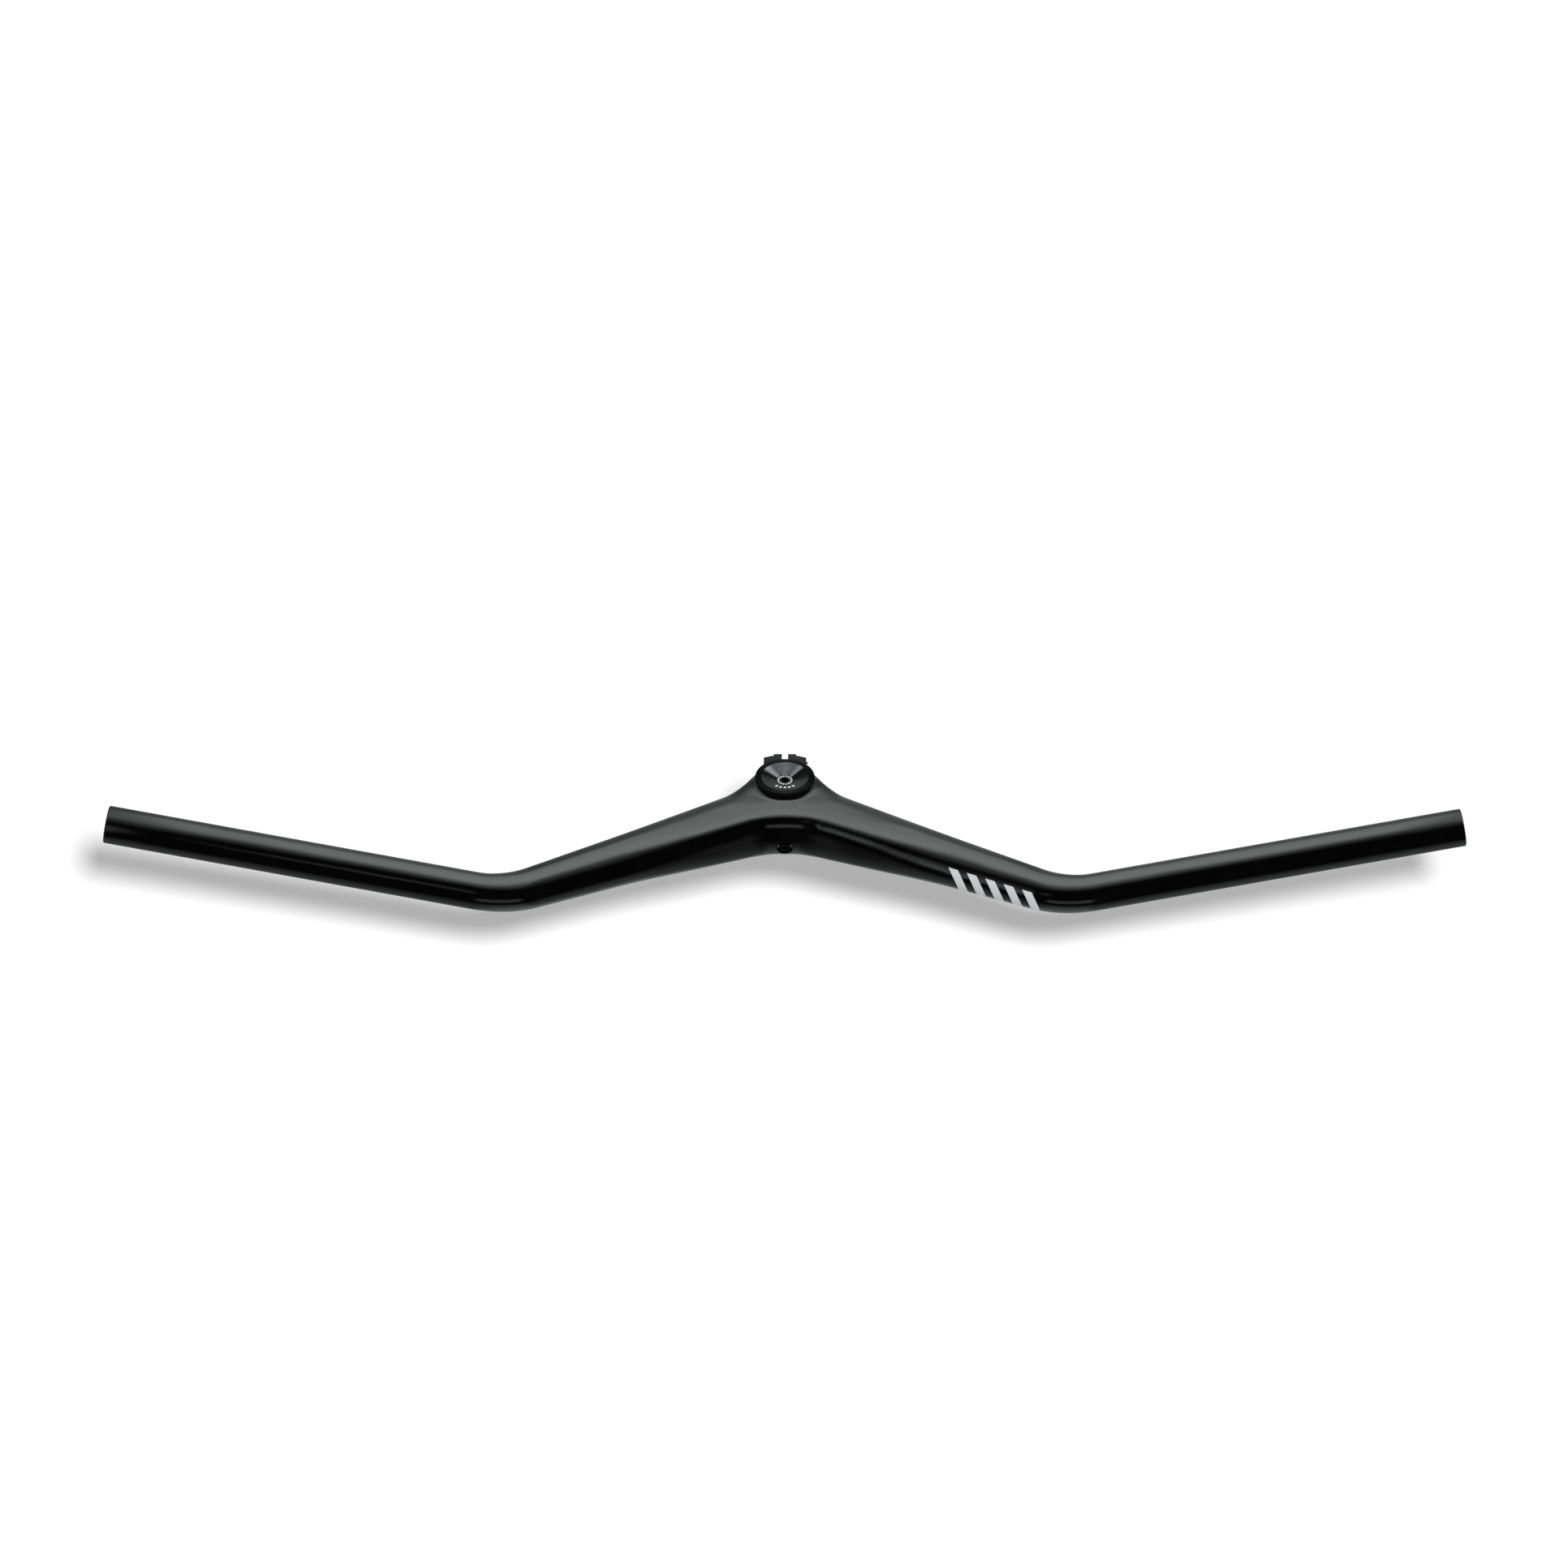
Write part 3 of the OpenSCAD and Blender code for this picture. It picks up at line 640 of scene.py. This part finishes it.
def flow_bump(tree, normal):
    """Normal of the clear coat, which has long shallow waves along the bar."""
    place = add(tree, "TexCoord").outputs["Object"]
    stretched = add(tree, "VectorMath", {0: place, 1: (14.0, 60.0, 60.0)}, operation="MULTIPLY").outputs[0]
    flow = add(tree, "TexNoise", {"Vector": stretched, "Scale": 1.0, "Detail": 1.0}).outputs[0]
    bumps = {"Height": flow, "Distance": 0.00045, "Strength": 1.0, "Normal": normal}
    return add(tree, "Bump", bumps).outputs["Normal"]


def gloss_carbon(p):
    """Black laminate under a clear coat with printed bars; the lugs behind the cap are bare and satin."""
    made, tree, shader = material("gloss_carbon", Coat_IOR=1.5, IOR=1.45)
    lug = lug_mask(tree)
    black = blend(tree, uneven(tree, 60.0, 0.0, 1.0), p.paint, [1.4 * c for c in p.paint])
    surface = collar_bump(tree)
    feed(
        tree,
        shader,
        Base_Color=blend(tree, bar_mask(tree), blend(tree, lug, black, p.satin), p.mark),
        Roughness=uneven(tree, 900.0, 0.36, 0.50),
        Specular_IOR_Level=times(tree, lug, 0.20),
        Normal=surface,
        Coat_Weight=calc(tree, "SUBTRACT", 1.0, lug),
        Coat_Roughness=uneven(tree, 35.0, 0.045, 0.065),
        Coat_Normal=flow_bump(tree, surface),
    )
    return made


def painted_dish_sheen(tree, turn, aside):
    """Painted sheen of the dish by its bearing from the front, a painted reflection of the soft light: grey in
    front, black at the sides, bright at the back and brightest at the back's two ends."""
    sides = times(tree, ease(tree, turn, 76, 100, 1.0, 0.0), ease(tree, turn, -106, -84))
    front = times(tree, ease(tree, aside, 0, 60, 0.28, 0.62), sides)
    back = total(tree, ease(tree, turn, 127, 134), ease(tree, turn, -124, -117, 1.0, 0.0))
    right = ease(tree, away(tree, turn, 138), 0, 13, 1.4, 0.0)
    left = ease(tree, away(tree, turn, -130), 0, 19, 2.1, 0.0)
    return total(tree, right, left, front, back, 0.03)


def turned_cap():
    """Black anodised cap: a satin rim round a dish whose fine turning marks run in circles, with five pale
    ticks in front. The dish's brightness by bearing is a painted sheen in its base colour, and the rim's gloss
    is painted lower towards the sides as painted shade."""
    made, tree, shader = material("anodised_black", Anisotropic=1.0, Anisotropic_Rotation=0.25)
    dish_r, mark_pitch, tick_pitch, tick_end = 0.01395, 0.00032, 17.0, 42.0
    radius, _, _ = polar(tree)
    bearing = calc(tree, "ARCTAN2", along(tree, (1, 0, 0)), along(tree, (0, -1, 0)))
    turn = times(tree, bearing, 180 / math.pi)
    aside = calc(tree, "ABSOLUTE", turn)
    dish = ease(tree, radius, dish_r, dish_r + 0.0001, 1.0, 0.0)
    marks = calc(tree, "SINE", times(tree, radius, 2 * math.pi / mark_pitch))
    tone = calc(tree, "MULTIPLY_ADD", marks, 0.05, uneven(tree, 300.0, 0.94, 1.06))
    # painted sheen: the dish's colour rises and falls with the bearing as a painted reflection of the light
    tone = times(tree, tone, painted_dish_sheen(tree, turn, aside))
    dish_black = add(tree, "Mix", {0: tone}, data_type="RGBA", clamp_factor=False)
    dish_black.inputs[6].default_value = (0, 0, 0, 1)
    dish_black.inputs[7].default_value = (0.085, 0.086, 0.090, 1)
    phase = calc(tree, "FRACT", calc(tree, "MULTIPLY_ADD", turn, 1 / tick_pitch, 0.5))
    ahead = ease(tree, aside, tick_end, tick_end + 0.5, 1.0, 0.0)
    tick_ring = between(tree, radius, 0.0074, 0.0098, 0.0001)
    ticks = times(tree, between(tree, phase, 0.23, 0.74, 0.03), ahead, tick_ring)
    black = blend(tree, dish, (0.0012, 0.0012, 0.0012), dish_black.outputs[2])
    # painted shade: the rim's specular level is cut towards the sides by the bearing, so its sides look darker
    facing = calc(tree, "COSINE", bearing)
    feed(
        tree,
        shader,
        Base_Color=blend(tree, ticks, black, (0.95, 0.95, 0.93)),
        Metallic=calc(tree, "SUBTRACT", dish, ticks),
        Roughness=total(tree, times(tree, dish, -0.08), uneven(tree, 700.0, 0.44, 0.54)),
        Specular_IOR_Level=total(tree, times(tree, facing, facing, 0.10), 0.03),
        Tangent=add(tree, "Tangent", direction_type="RADIAL", axis="Z").outputs[0],
    )
    return made


def black_steel():
    """Blackened screws whose hex sockets are darkened as painted shade. The cap's screw has a ring of plain
    silver ticks on its head, and the screw in the port is made the darkest as painted shade in its recess."""
    made, tree, shader = material("black_steel", Metallic=1.0)
    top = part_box("top_cap_bolt")[1][2]
    tick_count = 16
    radius, bearing, height = polar(tree)
    ring = between(tree, radius, 0.0033, 0.0045, 0.0001)
    share = times(tree, calc(tree, "ADD", bearing, math.pi), tick_count / (2 * math.pi))
    bars = between(tree, calc(tree, "FRACT", share), 0.20, 0.76, 0.04)
    ticks = times(tree, ring, bars, ease(tree, height, top - 0.0003, top - 0.0002))
    # painted shade: the hex socket, inside the head and below its top, is darkened in colour
    inside = ease(tree, radius, 0.0024, 0.0025, 1.0, 0.0)
    below = ease(tree, height, top - 0.0006, top - 0.0002, 1.0, 0.0)
    body = blend(tree, uneven(tree, 400.0, 0.0, 1.0), (0.008, 0.008, 0.0085), (0.013, 0.013, 0.014))
    # painted shade: the screw sitting in the port's recess is darkened to near black
    nose = ease(tree, along(tree, (0, 1, 0)), -0.030, -0.025, 1.0, 0.0)
    body = blend(tree, nose, body, (0.0015, 0.0014, 0.0014))
    body = blend(tree, times(tree, inside, below), body, (0.002, 0.002, 0.002))
    feed(
        tree,
        shader,
        Base_Color=blend(tree, ticks, body, (0.55, 0.54, 0.50)),
        Roughness=uneven(tree, 900.0, 0.32, 0.46),
        Normal=grain(tree, 3000.0, 0.00001),
    )
    return made


def black_polymer():
    """Matt black moulding with a fine grain."""
    made, tree, shader = material("black_polymer", Specular_IOR_Level=0.12)
    dark, pale = (0.0012, 0.0012, 0.0012), (0.002, 0.002, 0.002)
    feed(
        tree,
        shader,
        Base_Color=blend(tree, uneven(tree, 500.0, 0.0, 1.0), dark, pale),
        Roughness=uneven(tree, 800.0, 0.55, 0.7),
        Normal=grain(tree, 3500.0, 0.00002),
    )
    return made


def plain_steel():
    """Bright steel with a slightly uneven sheen."""
    made, tree, shader = material("plain_steel", Metallic=1.0)
    tone = blend(tree, uneven(tree, 300.0, 0.0, 1.0), (0.50, 0.50, 0.51), (0.62, 0.62, 0.63))
    feed(tree, shader, Base_Color=tone, Roughness=uneven(tree, 900.0, 0.22, 0.36))
    return made


class HBS_OT_thread_lock(bpy.types.Operator):
    """Put the dried speck of green thread lock on the end of the upper lug"""

    bl_idname = "hbs.thread_lock"
    bl_label = "Thread lock"

    def execute(self, context):
        p, q = context.scene.hbs_shell, context.scene.hbs_clamp
        bolt_z = p.clamp_h - q.lug_r + q.lug_rise
        centre = np.array([q.lug_w / 2 + 0.35, q.lug_y - 0.6, bolt_z + 4.8])
        half_size = np.array([0.75, 1.0, 0.6])
        turn = np.radians(np.linspace(4, 176, 15))
        ball = turned(np.stack([np.sin(turn), -np.cos(turn)], -1), 20)
        x, y, z = (ball[..., i : i + 1] for i in range(3))
        lumps = 1 + 0.22 * np.sin(5 * x + 1.0) * np.cos(4 * y) * np.sin(3 * z + 0.6)
        speck = solid("thread_lock", centre + ball * lumps * half_size)
        smooth(speck, 60)
        made, tree, shader = material("thread_lock")
        green = blend(tree, uneven(tree, 900.0, 0.0, 1.0), (0.004, 0.10, 0.03), (0.01, 0.17, 0.05))
        feed(tree, shader, Base_Color=green, Roughness=uneven(tree, 900.0, 0.4, 0.6))
        dress(speck, made)
        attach(speck, "root")
        return {"FINISHED"}


class HBS_OT_hardware(bpy.types.Operator):
    """Finish the cap, the ring under it, the screws, washers and bushes"""

    bl_idname = "hbs.hardware"
    bl_label = "Cap and screws"

    def execute(self, context):
        cap, black, ring, plain = turned_cap(), black_steel(), black_polymer(), plain_steel()
        look = {"top_cap": cap, "cap_seat_ring": ring, "top_cap_bolt": black, "port_screw": black}
        look["port_bush"] = plain
        for end in ("upper", "lower"):
            look["clamp_bolt_" + end] = black
            look["clamp_washer_" + end] = look["clamp_bush_" + end] = plain
        for node, made in look.items():
            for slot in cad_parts[node].material_slots:
                slot.material = made
        return {"FINISHED"}


# Studio

# Brightness of the soft light seen in the coat, by its bearing round the bar in degrees: 0 is behind, 90
# above and 180 in front of it
GLOW = (
    (-180, 0.0), (-142, 0.0), (-131, 0.36), (-118, 0.64), (-96, 0.7), (-70, 0.45), (-15, 0.36), (15, 0.5),
    (24, 0.62), (30, 0.8), (36, 1.15), (41, 1.95), (50, 2.25), (66, 2.95), (80, 3.3), (92, 3.15), (102, 1.85),
    (113, 0.8), (124, 0.2), (132, 0.0),
)


def tent_glow(tree, turn, x, aside):
    """The broad light: its brightness by bearing, a little more in the middle and less towards the tips."""
    brightest = 4.0
    ramp = add(tree, "ValToRGB", {0: calc(tree, "MULTIPLY_ADD", turn, 1 / 360, 0.5)})
    elements = ramp.color_ramp.elements
    elements.remove(elements[1])
    elements[0].position = 0.0
    elements[0].color = (0, 0, 0, 1)
    for degrees, value in GLOW[1:]:
        share = value / brightest
        elements.new((degrees + 180) / 360).color = (share, share, share, 1)
    ends = times(tree, ease(tree, x, -0.46, -0.12, 0.45, 1.0), ease(tree, x, 0.26, 0.46, 1.0, 0.5))
    return times(tree, ramp.outputs[0], brightest, ends, ease(tree, aside, 0.0, 0.5, 1.1, 1.0))


def tent_strips(tree, turn, x, aside):
    """Three narrow strips of light in front of the bar, seen on the left grip, the right arm and the nose."""
    off = away(tree, turn, 155.0)
    window = times(tree, ease(tree, x, -0.66, -0.50), ease(tree, x, -0.42, -0.36, 1.0, 0.0))
    left = times(tree, ease(tree, off, 0.0, 11.0, 0.38, 0.0), window)
    front = total(tree, turn, times(tree, ease(tree, turn, -1.0, 0.0, 1.0, 0.0), 360.0))
    twist, twist_x = -110.0, -0.9
    off = away(tree, front, calc(tree, "MULTIPLY_ADD", x, twist, 158.0 - twist * twist_x))
    window = times(tree, ease(tree, x, -1.25, -1.12), ease(tree, x, -0.86, -0.78, 1.0, 0.0))
    fade = ease(tree, x, -1.08, -0.85, 1.35, 0.5)
    right = times(tree, ease(tree, off, 0.0, 20.0, 1.0, 0.0), fade, window)
    off = away(tree, front, 197.0)
    nose = times(tree, ease(tree, off, 3.0, 13.0, 0.62, 0.0), ease(tree, aside, 0.36, 0.52, 1.0, 0.0))
    return total(tree, left, right, nose)


def light_tent():
    """A tube of cloth round the bar's middle that only reflections see."""
    middle, radius, reach = np.array([0.0, -40.0, 20.0]), 1500, 4000
    bearing = np.radians(np.arange(0, 360, 3.0))
    ring = np.stack([0 * bearing, radius * np.cos(bearing), radius * np.sin(bearing)], -1) + middle
    along_x = np.linspace(-reach, reach, 41)
    points = ring[None] + along_x[:, None, None] * [1.0, 0, 0]
    tent = new_object("light_tent", grid_mesh("light_tent", points))
    made = bpy.data.materials.new("light_tent")
    made.use_nodes = True
    tree = made.node_tree
    tree.nodes.clear()
    x = along(tree, (1, 0, 0))
    y = calc(tree, "SUBTRACT", along(tree, (0, 1, 0)), middle[1] / 1000)
    z = calc(tree, "SUBTRACT", along(tree, (0, 0, 1)), middle[2] / 1000)
    turn = times(tree, calc(tree, "ARCTAN2", z, y), 180 / math.pi)
    aside = calc(tree, "ABSOLUTE", x)
    strength = total(tree, tent_glow(tree, turn, x, aside), tent_strips(tree, turn, x, aside))
    shine = add(tree, "Emission", {"Color": (0.955, 1.0, 0.995, 1), "Strength": strength})
    add(tree, "OutputMaterial", {0: shine.outputs[0]})
    dress(tent, made)
    for way in ("camera", "diffuse", "transmission", "volume_scatter", "shadow"):
        setattr(tent, "visible_" + way, False)


# Side of the photo and the middle of the cap in it, in pixels, its scale, and the height of that point in
# millimetres
PHOTO_SIDE = 1932
CAP_PX = (967.1, 956.5)
PX_PER_MM = 2.097
CAP_Z = 40.6


def studio_camera(scene):
    """A long lens far off in front and above, framed as the photo is."""
    elevation, roll, distance, sensor = math.radians(36.2), math.radians(0.13), 30000.0, 36.0
    back = np.array([0, -math.cos(elevation), math.sin(elevation)])
    up = np.array([0, math.sin(elevation), math.cos(elevation)])
    px, half = 1 / PX_PER_MM, PHOTO_SIDE / 2
    shift = (half - CAP_PX[0]) * px * np.array([1.0, 0, 0]) + (CAP_PX[1] - half) * px * up
    centre = np.array([0, 0, CAP_Z]) + shift
    data = bpy.data.cameras.new("camera")
    data.sensor_width = sensor
    data.lens = sensor * distance / (PHOTO_SIDE * px)
    data.clip_start, data.clip_end = 1.0, 100.0
    camera = new_object("camera", data)
    right = np.array([math.cos(roll), 0, 0]) + math.sin(roll) * up
    turn = np.stack([right, np.cross(back, right), back], 1)
    camera.matrix_world = matrix(turn, (centre + back * distance) * 0.001)
    scene.camera = camera


def studio_floor():
    """White floor under the bar that keeps its shadow and is clear from below."""
    half, z = 6000, -150
    corners = [[[x, y, z] for x in (-half, half)] for y in (-half, half)]
    floor = new_object("floor", grid_mesh("floor", np.array(corners, float), close_v=False))
    floor.data.flip_normals()
    made, tree, shader = material("floor", Base_Color=(1, 1, 1, 1), Roughness=1.0, Specular_IOR_Level=0.0)
    back_side, clear = add(tree, "NewGeometry").outputs["Backfacing"], add(tree, "BsdfTransparent").outputs[0]
    mixed = add(tree, "MixShader", {0: back_side, 1: shader.outputs[0], 2: clear})
    tree.links.new(mixed.outputs[0], tree.nodes["Material Output"].inputs["Surface"])
    dress(floor, made)
    floor.visible_glossy = False


def studio_sun():
    """The lamp whose shadow falls to the lower left of the bar."""
    sun = bpy.data.lights.new("sun", "SUN")
    sun.energy = 3.0
    sun.angle = math.radians(4.0)
    lamp = new_object("sun", sun)
    lamp.matrix_world = matrix(placed((0, 0, 0), (0.09, -1.2, 1.0))[:3, :3], (0, 0, 1))
    lamp.visible_glossy = False


def studio_world(scene):
    """Soft white light from all sides, dimmer in reflections and white behind the bar."""
    fill, mirrored, seen = 0.45, 0.3, 1.0
    world = bpy.data.worlds.new("studio")
    scene.world = world
    world.use_nodes = True
    tree = world.node_tree
    tree.nodes.clear()
    white = (1, 1, 1, 1)
    levels = (fill, mirrored, seen)
    lights = [add(tree, "Background", {"Color": white, "Strength": level}) for level in levels]
    shades = [light.outputs[0] for light in lights]
    ray = add(tree, "LightPath").outputs
    mixed = add(tree, "MixShader", {0: ray["Is Glossy Ray"], 1: shades[0], 2: shades[1]}).outputs[0]
    mixed = add(tree, "MixShader", {0: ray["Is Camera Ray"], 1: mixed, 2: shades[2]}).outputs[0]
    add(tree, "OutputWorld", {0: mixed})


class HBS_OT_stage(bpy.types.Operator):
    """Set the camera, the white floor and the soft light"""

    bl_idname = "hbs.stage"
    bl_label = "Studio"

    def execute(self, context):
        scene = context.scene
        scene.view_settings.view_transform = "Standard"
        studio_camera(scene)
        studio_floor()
        studio_sun()
        light_tent()
        studio_world(scene)
        return {"FINISHED"}


class HBS_PT_panel(bpy.types.Panel):
    """Steps of the handlebar stem"""

    bl_idname = "HBS_PT_panel"
    bl_label = "Handlebar stem"
    bl_space_type = "VIEW_3D"
    bl_region_type = "UI"
    bl_category = "Handlebar"

    def draw(self, context):
        for step in STEPS:
            self.layout.operator(step.bl_idname)
        for group in (context.scene.hbs_shell, context.scene.hbs_clamp):
            for key in group.__annotations__:
                self.layout.prop(group, key)


STEPS = (HBS_OT_shell, HBS_OT_thread_lock, HBS_OT_hardware, HBS_OT_stage)
CLASSES = (HBS_PG_shell, HBS_PG_clamp, *STEPS, HBS_PT_panel)


def register():
    for cls in CLASSES:
        bpy.utils.register_class(cls)
    bpy.types.Scene.hbs_shell = PointerProperty(type=HBS_PG_shell)
    bpy.types.Scene.hbs_clamp = PointerProperty(type=HBS_PG_clamp)


def unregister():
    del bpy.types.Scene.hbs_clamp
    del bpy.types.Scene.hbs_shell
    for cls in reversed(CLASSES):
        bpy.utils.unregister_class(cls)


def main():
    register()
    bpy.ops.hbs.shell()
    bpy.ops.hbs.thread_lock()
    bpy.ops.hbs.hardware()
    bpy.ops.hbs.stage()


if __name__ == "__main__":
    main()
